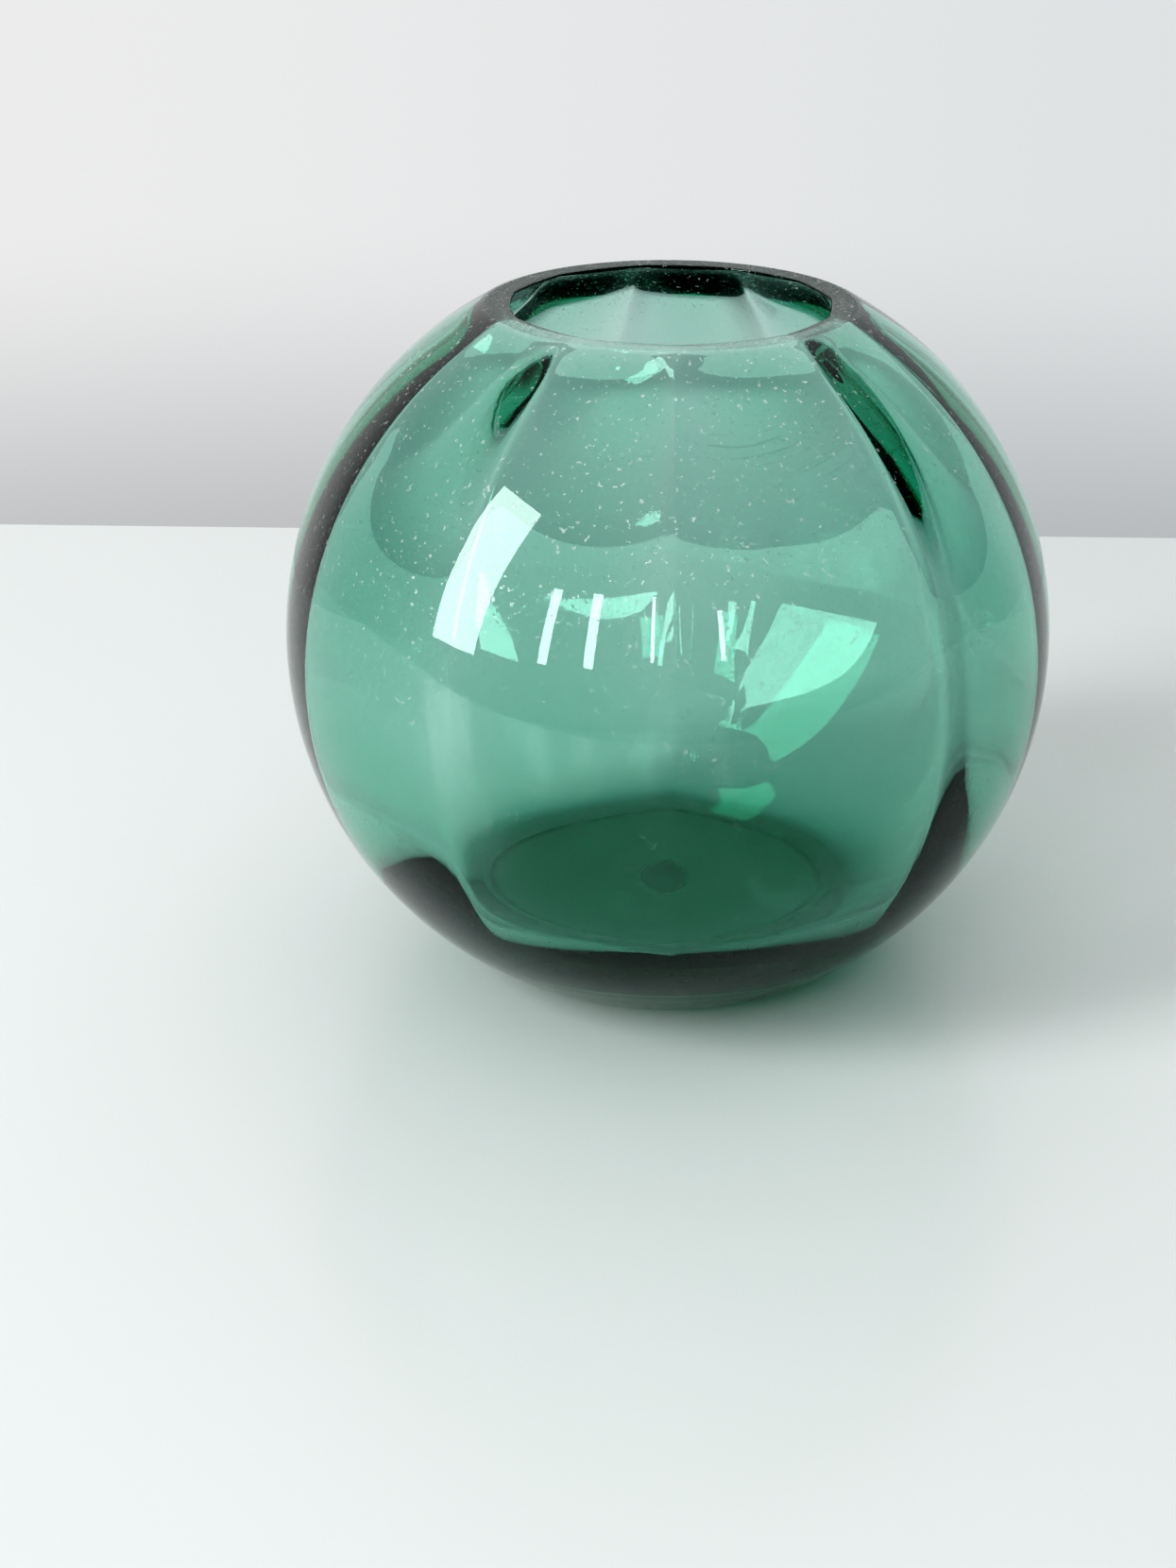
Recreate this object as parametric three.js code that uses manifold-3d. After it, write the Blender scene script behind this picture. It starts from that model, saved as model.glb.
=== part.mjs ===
// A ball-shaped bud vase of thick green glass. It is blown first into a fluted mould and then into a
// round one, so it is smooth outside and has flat panels, meeting in upright creases, inside.
// The whole vase is one piece of glass: globe, heavy floor, ground rim and ground foot are continuous.
// Millimetres, +Z up. The origin is the centre of the foot, on the surface that the vase stands on.
import * as THREE from "three";
import { mergeVertices } from "three/addons/utils/BufferGeometryUtils.js";
import Module from "manifold-3d";

// Driving dimensions.
const globeRadius = 50; // outside, at the widest
const rimCutRadius = 23.5; // where the flat rim face would cut the globe
const footCutRadius = 23.5; // where the flat foot would cut the globe
const rimRounding = 3.0; // outer edge of the rim
const footRounding = 3.0; // outer edge of the foot
const rimWall = 1.4; // glass at the creases, in the rim face
const shoulderWall = 0.7; // added quickly, over the shoulder height
const shoulderHeight = 2.8; // just under the rim: the flutes come in and the wall thickens
const sideWall = 2.6; // glass at the creases, at the globe's widest
const lowerWall = 4.0; // added towards the foot
const wallGrowth = 6.0; // how late that comes: higher keeps the sides thin
const floorHeight = 8.5; // the flat floor inside, above the foot
const floorBlend = 3.0; // half the height over which the wall turns into the floor
const pontilRadius = 5.8; // dimple that the pontil left in the middle of the foot
const pontilDepth = 0.7;

// Flutes: the glass is thicker in the middle of each panel than at the creases between the panels.
const fluteTop = 1.9; // that extra thickness near the mouth
const fluteFoot = 0.4; // and at the floor
const fluteFade = 1.5; // how early it is lost on the way down
const rimFlute = 0.5; // share of it that is left in the rim face
// Where the creases are, in degrees round from the front: hand work, so the panels differ in width.
const creases = [-66, -32, 1.4, 42, 71, 98, 125.7, 157.8, 190.8, 225.5, 257];

// Fineness of the faceted solid.
const outsideSegments = 72;
const arcSteps = 24;
const stepsPerPanel = 6;
const cavityRows = 40;
const cutMargin = 5; // how far the cavity's tool runs out above the mouth

// Heights that follow from the dimensions above.
const cutHeight = (cutRadius) => Math.sqrt(globeRadius ** 2 - cutRadius ** 2);
const centreHeight = cutHeight(footCutRadius);
const rimHeight = centreHeight + cutHeight(rimCutRadius);

const point = (x, y) => new THREE.Vector2(x, y);

// Points on an arc, its ends included. Angles run from +X, in radians.
function arc(centre, radius, from, to, steps) {
  return Array.from({ length: steps + 1 }, (_, i) => {
    const angle = THREE.MathUtils.lerp(from, to, i / steps);
    return point(centre.x + radius * Math.cos(angle), centre.y + radius * Math.sin(angle));
  });
}

// The rounding between a flat face, cut through the globe at this height above its centre, and the globe.
function edgeRounding(height, rounding) {
  const y = height - rounding;
  const x = Math.sqrt((globeRadius - rounding) ** 2 - y ** 2);
  return { x, y, tangent: Math.atan2(y, x) };
}

// Half the outline of the solid outside shape, from the axis in the foot up to the axis at the rim face.
function outsideProfile() {
  const foot = edgeRounding(cutHeight(footCutRadius), footRounding);
  const rim = edgeRounding(cutHeight(rimCutRadius), rimRounding);
  return [
    point(0, pontilDepth),
    point(pontilRadius / 2, pontilDepth * 0.75),
    point(pontilRadius, 0),
    ...arc(point(foot.x, footRounding), footRounding, -Math.PI / 2, -foot.tangent, 3),
    ...arc(point(0, centreHeight), globeRadius, -foot.tangent, rim.tangent, arcSteps).slice(1),
    ...arc(point(rim.x, rimHeight - rimRounding), rimRounding, rim.tangent, Math.PI / 2, 3).slice(1),
    point(0, rimHeight),
  ];
}

// 0 below 0, 1 above 1, and a soft change between.
const smooth = (t) => THREE.MathUtils.smoothstep(t, 0, 1);

// Thickness of the glass at the creases, seen from the globe's centre. The elevation runs from -90
// degrees at the foot to +90 degrees at the mouth.
function creaseWall(elevation) {
  const depth = (1 - Math.sin(elevation)) / 2;
  const drop = cutHeight(rimCutRadius) - globeRadius * Math.sin(elevation);
  const shoulder = shoulderWall * smooth(drop / shoulderHeight);
  const sideGrowth = (sideWall - rimWall - shoulderWall) * 2 * depth;
  return rimWall + shoulder + sideGrowth + lowerWall * depth ** wallGrowth;
}

// Lifts a height of the inside onto the flat floor, with a soft change between wall and floor.
function onFloor(height) {
  const overlap = Math.max(floorBlend - Math.abs(height - floorHeight), 0) / floorBlend;
  return Math.max(height, floorHeight) + (overlap ** 2 * floorBlend) / 4;
}

// Half the outline of the cavity at a crease, from the axis at the floor up past the mouth to the axis.
function cavityProfile() {
  const mouthElevation = Math.asin(cutHeight(rimCutRadius) / (globeRadius - rimWall));
  const wall = Array.from({ length: cavityRows + 1 }, (_, i) => {
    const elevation = THREE.MathUtils.lerp(-Math.PI / 2, mouthElevation, i / cavityRows);
    const reach = globeRadius - creaseWall(elevation);
    return point(reach * Math.cos(elevation), onFloor(centreHeight + reach * Math.sin(elevation)));
  });
  wall[0].x = 0;
  const mouthRadius = wall[cavityRows].x;
  return [...wall, point(mouthRadius, rimHeight + cutMargin), point(0, rimHeight + cutMargin)];
}

// Azimuth of crease number i from +X, in radians. The front is -Y.
function creaseAzimuth(i) {
  const fullTurns = Math.floor(i / creases.length);
  return THREE.MathUtils.degToRad(creases[i % creases.length] + 360 * fullTurns - 90);
}

// Azimuth of each upright row of points round the cavity, and its share of the flute's extra glass.
function panelRows() {
  return creases.flatMap((_, panel) => {
    const from = creaseAzimuth(panel);
    const half = (creaseAzimuth(panel + 1) - from) / 2;
    return Array.from({ length: stepsPerPanel }, (_, step) => {
      const across = (2 * step) / stepsPerPanel - 1;
      return { azimuth: from + half * (1 + across), swell: 1 - across ** 2 };
    });
  });
}

// Extra glass in the middle of a panel at a height: most near the mouth, but little in the rim face.
function fluteDepth(height) {
  const up = THREE.MathUtils.clamp((height - floorHeight) / (rimHeight - floorHeight), 0, 1);
  const atRim = THREE.MathUtils.lerp(rimFlute, 1, smooth((rimHeight - height) / shoulderHeight));
  return THREE.MathUtils.lerp(fluteFoot, fluteTop, up ** fluteFade) * atRim;
}

// A round lathe of the cavity's outline, with every upright row of points turned to its azimuth and
// moved towards the globe's centre by the flute. The floor and the rim face keep their heights.
function cavityGeometry() {
  const rows = panelRows();
  const geometry = new THREE.LatheGeometry(cavityProfile(), rows.length);
  geometry.rotateX(Math.PI / 2);
  const position = geometry.getAttribute("position");
  for (let i = 0; i < position.count; i++) {
    const radius = Math.hypot(position.getX(i), position.getY(i));
    const height = position.getZ(i);
    const turn = Math.atan2(position.getX(i), -position.getY(i)) / (2 * Math.PI); // from the front
    const { azimuth, swell } = rows[(Math.round(turn * rows.length) + rows.length) % rows.length];
    const rise = height - centreHeight;
    const shrink = (fluteDepth(height) * swell) / Math.hypot(radius, rise);
    const offFloor = THREE.MathUtils.clamp((height - floorHeight) / (2 * floorBlend), 0, 1);
    const offRim = smooth((rimHeight - height) / shoulderHeight);
    const reach = radius * (1 - shrink);
    position.setXYZ(
      i,
      reach * Math.cos(azimuth),
      reach * Math.sin(azimuth),
      height - rise * shrink * offFloor * offRim,
    );
  }
  return geometry;
}

const wasm = await Module();
wasm.setup();

// A closed geometry as a manifold-3d solid.
function solid(geometry) {
  const bare = geometry.clone();
  bare.deleteAttribute("normal");
  bare.deleteAttribute("uv");
  const merged = mergeVertices(bare, 1e-4);
  const vertProperties = merged.getAttribute("position").array;
  const triVerts = new Uint32Array(merged.getIndex().array);
  return new wasm.Manifold(new wasm.Mesh({ numProp: 3, vertProperties, triVerts }));
}

// A manifold-3d solid as a three.js geometry.
function geometryOf(made) {
  const mesh = made.getMesh();
  const geometry = new THREE.BufferGeometry();
  geometry.setAttribute("position", new THREE.BufferAttribute(mesh.vertProperties, 3));
  geometry.setIndex(new THREE.BufferAttribute(mesh.triVerts, 1));
  geometry.computeVertexNormals();
  return geometry;
}

function outsideGeometry() {
  return new THREE.LatheGeometry(outsideProfile(), outsideSegments).rotateX(Math.PI / 2);
}

const greenGlass = new THREE.MeshStandardMaterial({
  color: 0x4f9a7c,
  roughness: 0.05,
  metalness: 0,
  transparent: true,
  opacity: 0.45,
});

const glassVase = new THREE.Mesh(
  geometryOf(solid(outsideGeometry()).subtract(solid(cavityGeometry()))),
  greenGlass,
);
glassVase.name = "glass_vase";

const vase = new THREE.Group();
vase.add(glassVase);
export default vase;
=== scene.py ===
# %% [markdown]
# # A ball-shaped bud vase of thick green glass
# The real vase is one piece of glass. It is blown into a fluted mould first and into a round one after
# that, so its outside is a smooth ball, and its inside keeps eleven soft panels that meet in creases. The
# mouth is cut off and ground flat, and so is the foot.
# This lesson draws half of the wall as an outline, spins it into the whole vase, presses the flutes into
# its inside, and gives it glass that is darker where it is thicker. A table, a dim room and a few tall
# windows are added at the end, because clear glass shows mostly what is round it.

# %% The frame
import math

import bmesh
import bpy
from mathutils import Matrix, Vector


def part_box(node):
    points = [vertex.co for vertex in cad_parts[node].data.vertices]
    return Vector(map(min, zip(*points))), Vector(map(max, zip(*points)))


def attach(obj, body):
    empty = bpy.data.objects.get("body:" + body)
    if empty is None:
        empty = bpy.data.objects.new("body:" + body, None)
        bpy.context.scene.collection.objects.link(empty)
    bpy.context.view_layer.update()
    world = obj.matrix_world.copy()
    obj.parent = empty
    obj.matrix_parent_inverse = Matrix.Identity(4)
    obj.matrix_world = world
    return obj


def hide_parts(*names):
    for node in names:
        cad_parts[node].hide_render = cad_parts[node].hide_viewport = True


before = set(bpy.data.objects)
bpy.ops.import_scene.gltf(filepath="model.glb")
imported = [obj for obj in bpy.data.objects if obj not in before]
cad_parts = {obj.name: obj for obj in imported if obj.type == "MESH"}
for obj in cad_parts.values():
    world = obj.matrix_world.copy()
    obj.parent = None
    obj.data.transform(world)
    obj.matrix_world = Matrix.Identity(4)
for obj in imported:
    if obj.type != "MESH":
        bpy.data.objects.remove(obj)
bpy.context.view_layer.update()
vase_low, vase_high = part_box("glass_vase")
scene = bpy.context.scene

# %% [markdown]
# ## The camera
# The vase is seen from a little above, by someone who leans over the table that it stands on. A camera
# could be aimed with a constraint, but plain numbers for its place, its tilt and its turn are easier to
# copy, and they are all that is needed. The lens is a short telephoto, so that the ball stays round.

# %% The camera
MM = 0.001
LENS = 54.1  # focal length, on Blender's usual 36 mm sensor
CAMERA_PLACE = Vector((0, -291.3, 160.0)) * MM
CAMERA_TILT = math.radians(64.6)  # up from looking straight down
CAMERA_TURN = math.radians(2.03)
NEAREST = 10 * MM


def make_camera():
    data = bpy.data.cameras.new("camera")
    data.lens = LENS
    data.clip_start = NEAREST
    camera = bpy.data.objects.new("camera", data)
    camera.location = CAMERA_PLACE
    camera.rotation_euler = (CAMERA_TILT, 0, CAMERA_TURN)
    scene.collection.objects.link(camera)
    return camera


scene.camera = make_camera()
print("camera, metres from the foot:", round(CAMERA_PLACE.length, 3))

# %% [markdown]
# ## Sizes
# The width and the height of the vase are read from the CAD model, so the two can't drift apart. The
# other sizes repeat the driving dimensions of the design: how much the cut edges are rounded, how thick
# the glass is from the rim down to the floor, and how deep the flutes are.

# %% Sizes
GLOBE_RADIUS = (vase_high.x - vase_low.x) / 2
HEIGHT = vase_high.z - vase_low.z
CENTRE_HEIGHT = HEIGHT / 2
RIM_ROUNDING = 3.0 * MM
FOOT_ROUNDING = 3.0 * MM
EDGE = 0.25 * MM  # the inner edge of the rim is eased by this much
PONTIL_RADIUS = 5.8 * MM  # the dimple under the foot, where the pontil rod was broken off
PONTIL_DEPTH = 0.7 * MM

# thickness of the glass at the creases
RIM_WALL = 1.4 * MM
SHOULDER_WALL = 0.7 * MM  # comes in just under the rim
SIDE_WALL = 2.6 * MM  # at the widest
LOWER_WALL = 4.0 * MM  # comes in near the foot
WALL_GROWTH = 6.0
SHOULDER_HEIGHT = 2.8 * MM
FLOOR_HEIGHT = 8.5 * MM
FLOOR_BLEND = 3.0 * MM

# extra glass in the middle of each panel
FLUTE_TOP = 1.9 * MM
FLUTE_FOOT = 0.4 * MM
FLUTE_FADE = 1.5
RIM_FLUTE = 0.5  # share that is left in the rim face
print("vase:", round(2000 * GLOBE_RADIUS, 1), "mm wide,", round(1000 * HEIGHT, 1), "mm high")

# %% [markdown]
# ## Tools for drawing an outline
# A lathe shape needs half of its outline, drawn beside the axis. Its points could be listed by hand, but
# a pen is clearer: one tool draws a straight line from the last point, and another swings that point round
# a centre with the spin operator, which leaves an arc behind.

# %% Tools for drawing an outline
def line_to(outline, pen, x, z):
    """Draws a straight line from the pen's point, and returns the new end."""
    end = outline.verts.new((x, 0, z))
    outline.edges.new((pen, end))
    return end


def arc_to(outline, pen, centre, turn, steps):
    """Swings the pen's point round a centre, from +X towards +Z, and returns the new end."""
    spun = bmesh.ops.spin(outline, geom=[pen], cent=(centre[0], 0, centre[1]), axis=(0, -1, 0),
                          angle=turn, steps=steps, use_duplicate=False)
    return next(item for item in spun["geom_last"] if isinstance(item, bmesh.types.BMVert))


def share_between(low, high, value):
    """0 at the low end of a range, 1 at its high end, and never outside these."""
    return min(max((value - low) / (high - low), 0), 1)


def smooth_step(low, high, value):
    """The same with a soft start and a soft end."""
    share = share_between(low, high, value)
    return share * share * (3 - 2 * share)


# %% [markdown]
# ## How thick the glass is
# Blown glass is thin at the mouth, where it was stretched most, and it gathers at the foot. The outside is
# a true ball, so the inside is found by stepping in from it. The thickness is built up from four parts: the
# rim, a quick swell just under it that turns the glass there black-green, an even growth down the side,
# and a last part that comes late, near the foot. The floor inside is flat, with a soft corner.

# %% How thick the glass is
def edge_rounding(rounding):
    """Centre of the rounding between a flat cut and the globe, and the angle at which the two meet."""
    z = CENTRE_HEIGHT - rounding
    x = math.sqrt((GLOBE_RADIUS - rounding) ** 2 - z ** 2)
    return x, math.atan2(z, x)


def crease_wall(elevation):
    """Thickness at the creases, for an angle above or below the globe's centre."""
    depth = (1 - math.sin(elevation)) / 2
    drop = CENTRE_HEIGHT - GLOBE_RADIUS * math.sin(elevation)
    shoulder = SHOULDER_WALL * smooth_step(0, SHOULDER_HEIGHT, drop)
    side = (SIDE_WALL - RIM_WALL - SHOULDER_WALL) * 2 * depth
    return RIM_WALL + shoulder + side + LOWER_WALL * depth ** WALL_GROWTH


def on_floor(height):
    """Lifts a height of the inside onto the flat floor, with a soft change between wall and floor."""
    overlap = max(FLOOR_BLEND - abs(height - FLOOR_HEIGHT), 0) / FLOOR_BLEND
    return max(height, FLOOR_HEIGHT) + overlap ** 2 * FLOOR_BLEND / 4


for name, degrees in (("rim", 60), ("widest", 0), ("above the foot", -50)):
    print("wall at the", name, round(1000 * crease_wall(math.radians(degrees)), 2), "mm")

# %% [markdown]
# ## The outline
# The pen starts on the axis, in the dimple under the foot, goes out over the flat foot and up the ball, and
# comes back over the rim and down the inside to the middle of the floor. The points of the inside carry a
# mark, so that the flutes can find them later.

# %% The outline, outside
GLOBE_STEPS = 90
ROUNDING_STEPS = 10


def draw_outside(outline):
    """The dimple, the foot, the ball and the rounded rim. Returns the last point, on the rim face."""
    dimple_radius = (PONTIL_RADIUS ** 2 + PONTIL_DEPTH ** 2) / (2 * PONTIL_DEPTH)
    foot_x, foot_angle = edge_rounding(FOOT_ROUNDING)
    rim_x, rim_angle = edge_rounding(RIM_ROUNDING)
    pen = outline.verts.new((0, 0, PONTIL_DEPTH))
    pen = arc_to(outline, pen, (0, PONTIL_DEPTH - dimple_radius),
                 -math.asin(PONTIL_RADIUS / dimple_radius), ROUNDING_STEPS)
    pen = line_to(outline, pen, pen.co.x + EDGE, 0)
    pen = line_to(outline, pen, foot_x - EDGE, 0)
    pen = line_to(outline, pen, foot_x, 0)
    pen = arc_to(outline, pen, (foot_x, FOOT_ROUNDING), math.pi / 2 - foot_angle, ROUNDING_STEPS)
    pen = arc_to(outline, pen, (0, CENTRE_HEIGHT), foot_angle + rim_angle, GLOBE_STEPS)
    pen = arc_to(outline, pen, (rim_x, HEIGHT - RIM_ROUNDING), math.pi / 2 - rim_angle, ROUNDING_STEPS)
    return line_to(outline, pen, rim_x - EDGE, HEIGHT)


# %% The outline, inside
FLOOR_STEPS = 15
MOUTH_ELEVATION = math.asin(CENTRE_HEIGHT / (GLOBE_RADIUS - RIM_WALL))
MOUTH_RADIUS = (GLOBE_RADIUS - RIM_WALL) * math.cos(MOUTH_ELEVATION)


def inside_points():
    """Points of the inside at a crease, from the eased edge of the rim down to the middle of the floor."""
    points = [(MOUTH_RADIUS + EDGE, HEIGHT), (MOUTH_RADIUS + 0.3 * EDGE, HEIGHT - 0.3 * EDGE),
              (MOUTH_RADIUS, HEIGHT - EDGE)]
    for step in range(1, GLOBE_STEPS + 1):
        elevation = MOUTH_ELEVATION - (MOUTH_ELEVATION + math.pi / 2) * step / GLOBE_STEPS
        reach = GLOBE_RADIUS - crease_wall(elevation)
        z = CENTRE_HEIGHT + reach * math.sin(elevation)
        if z < FLOOR_HEIGHT - FLOOR_BLEND:
            break
        if z < HEIGHT - 2 * EDGE:
            points.append((reach * math.cos(elevation), on_floor(z)))
    floor_edge = points[-1][0]
    for step in range(1, FLOOR_STEPS + 1):
        points.append((floor_edge * (1 - step / FLOOR_STEPS), FLOOR_HEIGHT))
    return points


def draw_inside(outline, pen):
    inside = outline.verts.layers.int["inside"]
    pen = line_to(outline, pen, MOUTH_RADIUS + 2 * EDGE, HEIGHT)
    for x, z in inside_points():
        pen = line_to(outline, pen, x, z)
        pen[inside] = 1


print("mouth:", round(2000 * MOUTH_RADIUS, 1), "mm across")

# %% [markdown]
# ## The flutes
# The eleven panels were made by hand, so they differ in width, and the list says where each crease
# is. Boolean cuts could carve the panels, but that would leave hard edges and long thin faces. Instead the
# points that are already there move: each upright row of points turns to its own azimuth, closer together
# at the creases, and then comes in by the flute's depth, most in the middle of a panel.

# %% The flutes
CREASES = (-66, -32, 1.4, 42, 71, 98, 125.7, 157.8, 190.8, 225.5, 257)  # degrees round from the front
CREASE_SOFTNESS = math.radians(1.2)
STEPS_PER_PANEL = 16


def crease_azimuth(number):
    turns, which = divmod(number, len(CREASES))
    return math.radians(CREASES[which] + 360 * turns - 90)


def panel_columns():
    """For each upright row of points: its azimuth from +X, and its share of the flute's depth."""
    columns = []
    for panel in range(len(CREASES)):
        left, right = crease_azimuth(panel), crease_azimuth(panel + 1)
        middle, half = (left + right) / 2, (right - left) / 2
        for step in range(STEPS_PER_PANEL):
            across = half * math.sin(math.pi / 2 * (2 * step / STEPS_PER_PANEL - 1))
            softened = half - math.hypot(half - abs(across), CREASE_SOFTNESS)
            columns.append((middle + across, 1 - (max(softened, 0) / half) ** 2))
    return columns


def flute_depth(height):
    """Extra glass in the middle of a panel: most near the mouth, but less in the rim face itself."""
    up = share_between(FLOOR_HEIGHT, HEIGHT, height)
    at_rim = RIM_FLUTE + (1 - RIM_FLUTE) * smooth_step(0, SHOULDER_HEIGHT, HEIGHT - height)
    return (FLUTE_FOOT + (FLUTE_TOP - FLUTE_FOOT) * up ** FLUTE_FADE) * at_rim


print("flute at the widest:", round(1000 * flute_depth(CENTRE_HEIGHT), 2), "mm deep")

# %% [markdown]
# ## The vase
# One full turn of the outline makes the ball, the foot, the rim and the inside together, so the glass is
# one closed skin with a true thickness, which light needs to bend and to be coloured as in the real thing.
# A Solidify modifier on a ball would give an even wall, and this wall isn't even. The floor and the rim
# face have to stay flat, so there the flutes only move points sideways.

# %% The vase
ON_AXIS = 0.0001 * MM
SAME_POINT = 0.0005 * MM


def press_flute(vertex, radius, swell):
    """Brings a point of the inside towards the globe's centre, and returns its new radius."""
    rise = vertex.co.z - CENTRE_HEIGHT
    shrink = flute_depth(vertex.co.z) * swell / math.hypot(radius, rise)
    off_floor = share_between(FLOOR_HEIGHT, FLOOR_HEIGHT + 2 * FLOOR_BLEND, vertex.co.z)
    off_rim = smooth_step(0, SHOULDER_HEIGHT, HEIGHT - vertex.co.z)
    vertex.co.z -= rise * shrink * off_floor * off_rim
    return radius * (1 - shrink)


def make_vase():
    vase = bmesh.new()
    inside = vase.verts.layers.int.new("inside")
    draw_inside(vase, draw_outside(vase))
    columns = panel_columns()
    bmesh.ops.spin(vase, geom=vase.verts[:] + vase.edges[:], cent=(0, 0, 0), axis=(0, 0, 1),
                   angle=2 * math.pi, steps=len(columns), use_merge=True, use_duplicate=False)
    bmesh.ops.remove_doubles(vase, verts=vase.verts, dist=SAME_POINT)
    for vertex in vase.verts:
        radius = math.hypot(vertex.co.x, vertex.co.y)
        if radius < ON_AXIS:
            continue
        turn = math.atan2(vertex.co.y, vertex.co.x) / (2 * math.pi)
        azimuth, swell = columns[round(turn * len(columns)) % len(columns)]
        if vertex[inside]:
            radius = press_flute(vertex, radius, swell)
        vertex.co.x, vertex.co.y = radius * math.cos(azimuth), radius * math.sin(azimuth)
    bmesh.ops.recalc_face_normals(vase, faces=vase.faces)
    mesh = bpy.data.meshes.new("vase_glass")
    vase.to_mesh(mesh)
    vase.free()
    mesh.shade_smooth()
    piece = bpy.data.objects.new("vase_glass", mesh)
    scene.collection.objects.link(piece)
    return piece


vase_glass = make_vase()
print("vase_glass:", len(vase_glass.data.polygons), "faces")

# %% [markdown]
# ## Tools for a material
# Most of the glass is clear, but its ground faces, its dust and its smudges are each a mask that is worked
# out from the place on the vase. These few tools keep the node work readable: a ramp from one range to
# another, a sum of two values, and a noise.

# %% Tools for a material
class Maker:
    """Adds nodes to one material and wires them."""

    def __init__(self, name):
        self.material = bpy.data.materials.new(name)
        self.material.use_nodes = True
        tree = self.material.node_tree
        self.nodes, self.links = tree.nodes, tree.links
        self.surface = self.nodes["Principled BSDF"]
        self.place = self.nodes.new("ShaderNodeTexCoord").outputs["Object"]
        parts = self.nodes.new("ShaderNodeSeparateXYZ")
        self.links.new(self.place, parts.inputs["Vector"])
        self.x, self.y, self.z = (parts.outputs[axis] for axis in "XYZ")

    def feed(self, socket, value):
        """Sets a socket to a number, or links it to another node's output."""
        if isinstance(value, (int, float)):
            socket.default_value = value
        else:
            self.links.new(value, socket)

    def ramp(self, value, low, high, at_low, at_high):
        """Runs from one number to another while the value crosses a range."""
        node = self.nodes.new("ShaderNodeMapRange")
        limits = {"From Min": low, "From Max": high, "To Min": at_low, "To Max": at_high}
        for name, number in limits.items():
            node.inputs[name].default_value = number
        self.feed(node.inputs["Value"], value)
        return node.outputs["Result"]

    def combine(self, operation, first, second):
        """Adds, multiplies or otherwise joins two values, and keeps the result between 0 and 1."""
        node = self.nodes.new("ShaderNodeMath")
        node.operation = operation
        node.use_clamp = True
        self.feed(node.inputs[0], first)
        self.feed(node.inputs[1], second)
        return node.outputs["Value"]

    def noise(self, scale, detail):
        node = self.nodes.new("ShaderNodeTexNoise")
        node.inputs["Scale"].default_value = scale
        node.inputs["Detail"].default_value = detail
        self.links.new(self.place, node.inputs["Vector"])
        return node.outputs["Fac"]


# %% [markdown]
# ## The ground faces
# The rim was ground flat and left matte: it looks grey, with a coarse grain. The foot is ground too, and
# it is seen from above, through the glass of the floor, as a dark patch with a darker outline. The outline
# is painted shade: the base colour is darkened in a ring at the edge of the foot. The pontil mark in the
# middle, where the rod was broken off, is darkened with the same colour, and looked at through the floor it
# appears only about half as wide as it is. These faces could be separate materials, but the glass has to
# stay one closed piece, so each is a mask by height and by distance from the axis.

# %% The ground faces
FACE_DEPTH = 0.06 * MM  # how far a ground face's matte finish reaches up or down the edge
GRAIN_SCALE = 2600
FINEST_GRAIN = 0.3  # the grain never fades out altogether
RIM_ROUGHNESS = 0.6
RIM_WHITENESS = 0.03
FOOT_ROUGHNESS = 0.5
# painted shade: the base colour is darkened in a ring at the edge of the foot
FOOT_SHADE_FROM = 21.8 * MM
FOOT_SHADE_WIDTH = 1.0 * MM
FOOT_SHADE = 0.8
# how much darker the pontil mark is made in its base colour
PONTIL_DARKENING = 0.9
PONTIL_COVER = 0.5  # share of the glass that is hidden in the darkened mark
# the colour of that painted shade, and of the darkened pontil mark
SHADE_AND_MARK_COLOUR = (0.10, 0.22, 0.16)


def ground_faces(glass):
    """Roughness of the two ground faces, and how white the rim's grain is."""
    rim = glass.ramp(glass.z, HEIGHT - FACE_DEPTH, HEIGHT - FACE_DEPTH / 3, 0, 1)
    foot = glass.ramp(glass.z, FACE_DEPTH / 6, FACE_DEPTH / 2, FOOT_ROUGHNESS, 0)
    grain = glass.ramp(glass.noise(GRAIN_SCALE, 2), 0.3, 0.7, FINEST_GRAIN, 1)
    grainy_rim = glass.combine("MULTIPLY", rim, grain)
    matte = glass.combine("ADD", glass.combine("MULTIPLY", grainy_rim, RIM_ROUGHNESS), foot)
    return matte, glass.combine("MULTIPLY", grainy_rim, RIM_WHITENESS)


def foot_shade_and_mark(glass):
    """Paints shade as a darker ring at the edge of the foot, darkens the pontil mark, and returns how much
    of the glass is hidden in the mark.
    """
    squares = glass.combine("ADD", glass.combine("POWER", glass.x, 2), glass.combine("POWER", glass.y, 2))
    across = glass.combine("SQRT", squares, 0)
    low = glass.ramp(glass.z, FOOT_ROUNDING / 2, FOOT_ROUNDING, 1, 0)
    pontil = glass.ramp(across, 0.85 * PONTIL_RADIUS, PONTIL_RADIUS, PONTIL_DARKENING, 0)
    # the ring of painted shade at the edge of the foot
    edge = glass.ramp(across, FOOT_SHADE_FROM, FOOT_SHADE_FROM + FOOT_SHADE_WIDTH, 0, FOOT_SHADE)
    tint = glass.nodes.new("ShaderNodeMix")
    tint.data_type = "RGBA"
    tint.inputs["A"].default_value = (1, 1, 1, 1)
    tint.inputs["B"].default_value = (*SHADE_AND_MARK_COLOUR, 1)
    darkening = glass.combine("MULTIPLY", glass.combine("ADD", pontil, edge), low)
    glass.links.new(darkening, tint.inputs["Factor"])
    glass.links.new(tint.outputs["Result"], glass.surface.inputs["Base Color"])
    return glass.combine("MULTIPLY", glass.combine("MULTIPLY", pontil, low), PONTIL_COVER)


# %% [markdown]
# ## Dust, smudges and waves
# A vase that has stood in a room has fine dust on its shoulders and the smudges of hands, and both are more
# on the upper half. The dust is the highest peaks of a fine noise. Each speck hides a little of the glass,
# and most of them lie where the surface is smudged. The smudges only make the glass a touch less sharp.
# Blown glass also has slow waves, which a very weak bump gives to the reflections.

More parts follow.
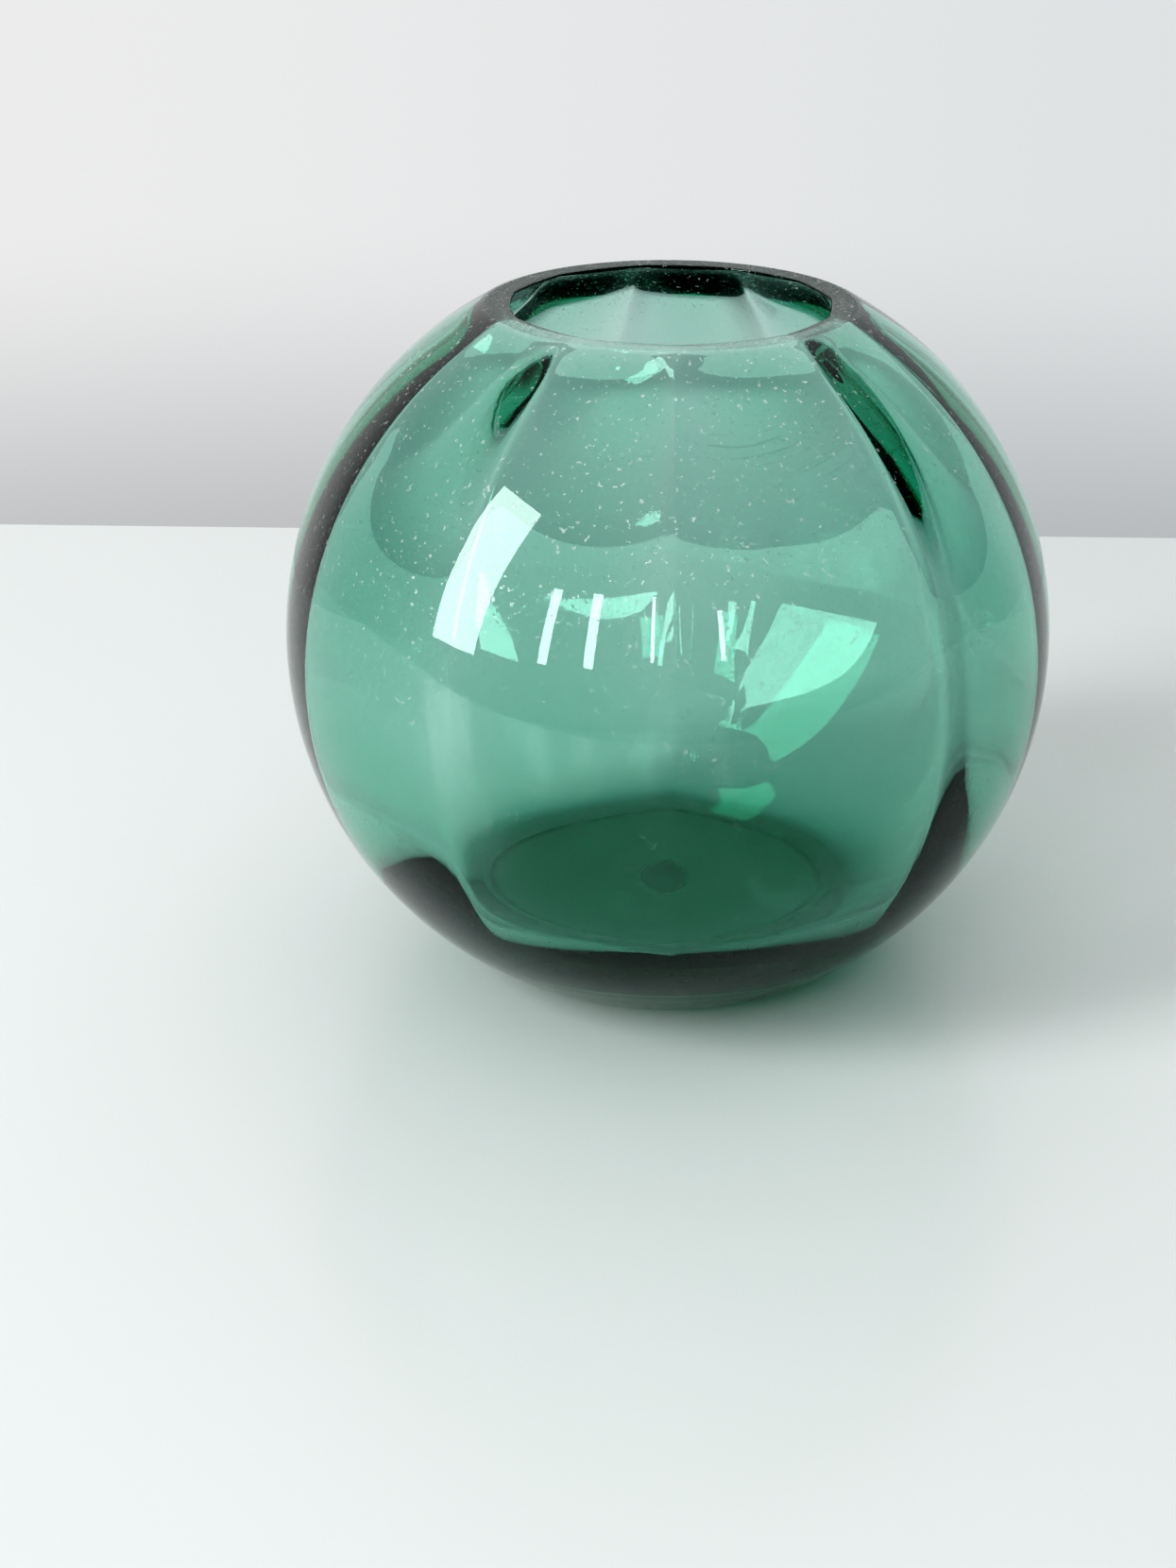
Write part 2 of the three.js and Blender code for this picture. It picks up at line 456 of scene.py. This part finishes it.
# %% Dust, smudges and waves
DUST_SCALE = 1500
DUST_FROM = 0.635  # how high a peak of the noise has to be
DUST_SOFTNESS = 0.06
DUST_COVER = 0.5
DUST_ROUGHNESS = 0.4
DUST_OFF_SMUDGES = 0.35
SMUDGE_SCALE = 60
SMUDGE_ROUGHNESS = 0.05
LOW_WEAR = 0.12  # share of the wear that is left on the lower half
WAVE_SCALE = 45
WAVE_HEIGHT = 0.06 * MM


def wear(glass):
    """Roughness of the worn surface, and how much of the glass its dust hides."""
    up = glass.ramp(glass.z, 0.4 * HEIGHT, 0.95 * HEIGHT, LOW_WEAR, 1)
    smudge = glass.ramp(glass.noise(SMUDGE_SCALE, 4), 0.46, 0.75, 0, 1)
    specks = glass.ramp(glass.noise(DUST_SCALE, 3), DUST_FROM, DUST_FROM + DUST_SOFTNESS, 0, 1)
    patchy = glass.combine("MULTIPLY", specks, glass.ramp(smudge, 0, 1, DUST_OFF_SMUDGES, 1))
    dust = glass.combine("MULTIPLY", up, patchy)
    haze = glass.combine("MULTIPLY", glass.combine("MULTIPLY", smudge, up), SMUDGE_ROUGHNESS)
    rough = glass.combine("ADD", haze, glass.combine("MULTIPLY", dust, DUST_ROUGHNESS))
    return rough, glass.combine("MULTIPLY", dust, DUST_COVER)


def waves(glass):
    bump = glass.nodes.new("ShaderNodeBump")
    bump.inputs["Distance"].default_value = WAVE_HEIGHT
    glass.links.new(glass.noise(WAVE_SCALE, 1), bump.inputs["Height"])
    glass.links.new(bump.outputs["Normal"], glass.surface.inputs["Normal"])


# %% [markdown]
# ## The green glass
# The glass could be tinted with its base colour, but then a thin wall and a thick floor would be
# equally green. Here the surface lets all light in, and a Volume Absorption takes the red out of it along
# the way, so that the glass is pale at the sides, deep green at the floor, and nearly black where the light
# runs along inside the wall.

# %% The green glass
GLASS_IOR = 1.52
ABSORPTION_COLOUR = (0.10, 0.68, 0.52)
ABSORPTION_DENSITY = 185
REFLECTION_TINT = (0.6, 0.75, 0.7, 1)  # weaker and greener than real glass, whose reflections have no tint


def green_glass():
    glass = Maker("green_glass")
    surface = glass.surface
    surface.inputs["IOR"].default_value = GLASS_IOR
    surface.inputs["Specular Tint"].default_value = REFLECTION_TINT
    absorb = glass.nodes.new("ShaderNodeVolumeAbsorption")
    absorb.inputs["Color"].default_value = (*ABSORPTION_COLOUR, 1)
    absorb.inputs["Density"].default_value = ABSORPTION_DENSITY
    glass.links.new(absorb.outputs["Volume"], glass.nodes["Material Output"].inputs["Volume"])
    matte, grain = ground_faces(glass)
    worn, dust = wear(glass)
    glass.links.new(glass.combine("ADD", matte, worn), surface.inputs["Roughness"])
    hidden = glass.combine("ADD", glass.combine("ADD", grain, dust), foot_shade_and_mark(glass))
    glass.links.new(glass.combine("SUBTRACT", 1, hidden), surface.inputs["Transmission Weight"])
    waves(glass)
    return glass.material


vase_glass.data.materials.append(green_glass())
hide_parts("glass_vase")
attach(vase_glass, "root")
print("green_glass:", len(vase_glass.data.materials[0].node_tree.nodes), "nodes")

# %% [markdown]
# ## The table
# The vase stands on a pale table top with a soft sheen. The line where it ends and the wall begins is
# seen twice: beside the vase, and curved in the glass. The table is a flat grid, a hair lower than
# the foot, because two faces in the same place would flicker.

# %% The table
TABLE_BACK = 166 * MM  # from the middle of the vase
TABLE_FRONT = -320 * MM
TABLE_WIDTH = 3.0
TABLE_GAP = 0.05 * MM
TABLE_COLOUR = (0.60, 0.63, 0.625, 1)
TABLE_ROUGHNESS = 0.28


def make_table():
    top = bmesh.new()
    bmesh.ops.create_grid(top, x_segments=1, y_segments=1, size=0.5)
    bmesh.ops.scale(top, vec=(TABLE_WIDTH, TABLE_BACK - TABLE_FRONT, 1), verts=top.verts)
    bmesh.ops.translate(top, vec=(0, (TABLE_BACK + TABLE_FRONT) / 2, -TABLE_GAP), verts=top.verts)
    mesh = bpy.data.meshes.new("table_top")
    top.to_mesh(mesh)
    top.free()
    material = bpy.data.materials.new("pale_table")
    material.use_nodes = True
    surface = material.node_tree.nodes["Principled BSDF"]
    surface.inputs["Base Color"].default_value = TABLE_COLOUR
    surface.inputs["Roughness"].default_value = TABLE_ROUGHNESS
    mesh.materials.append(material)
    table = bpy.data.objects.new("table_top", mesh)
    scene.collection.objects.link(table)
    return table


table_top = make_table()
print("table_top:", TABLE_WIDTH, "m wide")

# %% [markdown]
# ## The room
# Clear glass has dark edges only if something dark is round it. So the room is a world with a pale wall
# behind the vase and darkness on the viewer's side, and with a dim ceiling. Real walls would do the same,
# but they would stand in the way when the vase is looked at from behind.

# %% The room
WALL_COLOUR = (0.69, 0.69, 0.70)
ROOM_COLOUR = (0.014, 0.02, 0.018)
WALL_FROM, WALL_TO = 0.2, 0.8  # how far towards the back it is already wall
LOW_FROM, LOW_TO = -0.36, -0.2  # below the horizon
LOW_WALL_SHADE = (0.62, 0.63, 0.64)  # the wall is darker just above the table
SIDE_FROM, SIDE_TO = -0.3, 0.3
LEFT_SHADE, RIGHT_SHADE = (1.02, 1.02, 1.01), (0.9, 0.93, 0.93)
CEILING_FROM, CEILING_TO = 0.3, 0.95
CEILING_COLOUR = (0.8, 0.8, 0.8)


def room_ramp(tree, direction, axis, limits, at_low, at_high):
    """A colour that changes while the direction of view runs along one axis."""
    spread = tree.nodes.new("ShaderNodeCombineXYZ")
    for name in "XYZ":
        tree.links.new(direction.outputs[axis], spread.inputs[name])
    ramp = tree.nodes.new("ShaderNodeMapRange")
    ramp.data_type = "FLOAT_VECTOR"
    ramp.interpolation_type = "SMOOTHSTEP"
    tree.links.new(spread.outputs["Vector"], ramp.inputs["Vector"])
    vectors = [socket for socket in ramp.inputs if socket.type == "VECTOR"][1:]
    for socket, value in zip(vectors, ((limits[0],) * 3, (limits[1],) * 3, at_low, at_high)):
        socket.default_value = value
    return ramp.outputs["Vector"]


def make_room():
    world = bpy.data.worlds.new("room")
    world.use_nodes = True
    tree = world.node_tree
    look = tree.nodes.new("ShaderNodeTexCoord")
    direction = tree.nodes.new("ShaderNodeSeparateXYZ")
    tree.links.new(look.outputs["Generated"], direction.inputs["Vector"])
    wall = room_ramp(tree, direction, "Y", (WALL_FROM, WALL_TO), ROOM_COLOUR, WALL_COLOUR)
    low = room_ramp(tree, direction, "Z", (LOW_FROM, LOW_TO), LOW_WALL_SHADE, (1, 1, 1))
    side = room_ramp(tree, direction, "X", (SIDE_FROM, SIDE_TO), LEFT_SHADE, RIGHT_SHADE)
    ceiling = room_ramp(tree, direction, "Z", (CEILING_FROM, CEILING_TO), (0, 0, 0), CEILING_COLOUR)
    shaded = tree.nodes.new("ShaderNodeVectorMath")
    shaded.operation = "MULTIPLY"
    whole = tree.nodes.new("ShaderNodeVectorMath")
    whole.operation = "MULTIPLY_ADD"
    for socket, value in zip(shaded.inputs, (wall, low)):
        tree.links.new(value, socket)
    for socket, value in zip(whole.inputs, (shaded.outputs["Vector"], side, ceiling)):
        tree.links.new(value, socket)
    tree.links.new(whole.outputs["Vector"], tree.nodes["Background"].inputs["Color"])
    return world


scene.world = make_room()
print("room: wall", WALL_COLOUR, "and front", ROOM_COLOUR)

# %% [markdown]
# ## The windows
# The room's light comes from tall windows on the left and behind the viewer. Each is an upright area
# light, which the ball shows as a narrow bright pane, and its inside shows again, greener. The camera
# doesn't see them directly.

# %% The windows
def window(name, azimuth, elevation, distance, width, height, power):
    """An area light that faces the vase. Azimuth 0 is towards the viewer, and + is to the right."""
    data = bpy.data.lights.new(name, "AREA")
    data.shape = "RECTANGLE"
    data.size, data.size_y = width, height
    data.energy = power
    light = bpy.data.objects.new(name, data)
    a, e = math.radians(azimuth), math.radians(elevation)
    place = distance * Vector((math.sin(a) * math.cos(e), -math.cos(a) * math.cos(e), math.sin(e)))
    light.location = place + Vector((0, 0, CENTRE_HEIGHT))
    light.rotation_euler = place.to_track_quat("Z", "Y").to_euler()
    light.visible_camera = False
    scene.collection.objects.link(light)
    return light


window("window_left", -63, 26, 1.3, 0.36, 0.95, 16)
window("window_strip_1", -35, 19, 2.5, 0.12, 0.9, 6)
window("window_strip_2", -22, 20, 2.5, 0.12, 0.9, 6)
window("window_strip_3", -4, 22, 2.5, 0.04, 0.8, 2)
window("window_strip_4", 17, 20, 2.5, 0.06, 0.6, 2)

# a large soft light from above, which brightens the table and isn't mirrored in the glass
soft_fill = window("soft_fill", 0, 70, 1.6, 1.6, 1.6, 1)
soft_fill.visible_glossy = False
soft_fill.visible_transmission = False

# %% [markdown]
# ## How the picture is developed
# Light crosses four skins of glass on its way through the vase, and more where it is caught in the wall, so
# it is followed for many bounces. The colours are shown with a little more contrast, and a curve deepens the
# darkest of them, because black-green edges are what makes such glass look heavy. Both belong to the
# picture and not to the glass, so they don't go with the exported model.

# %% How the picture is developed
BOUNCES = 24
CONTRAST = "Medium High Contrast"
TOE = ((0.02, 0.004), (0.05, 0.028), (0.12, 0.112), (0.3, 0.3))  # light given, light shown

scene.cycles.max_bounces = BOUNCES
scene.cycles.transmission_bounces = BOUNCES
scene.view_settings.view_transform = "Standard"
scene.view_settings.look = CONTRAST
scene.view_settings.use_curve_mapping = True
curves = scene.view_settings.curve_mapping
for given, shown in TOE:
    curves.curves[3].points.new(given, shown)
curves.update()
print("light is followed for", BOUNCES, "bounces")
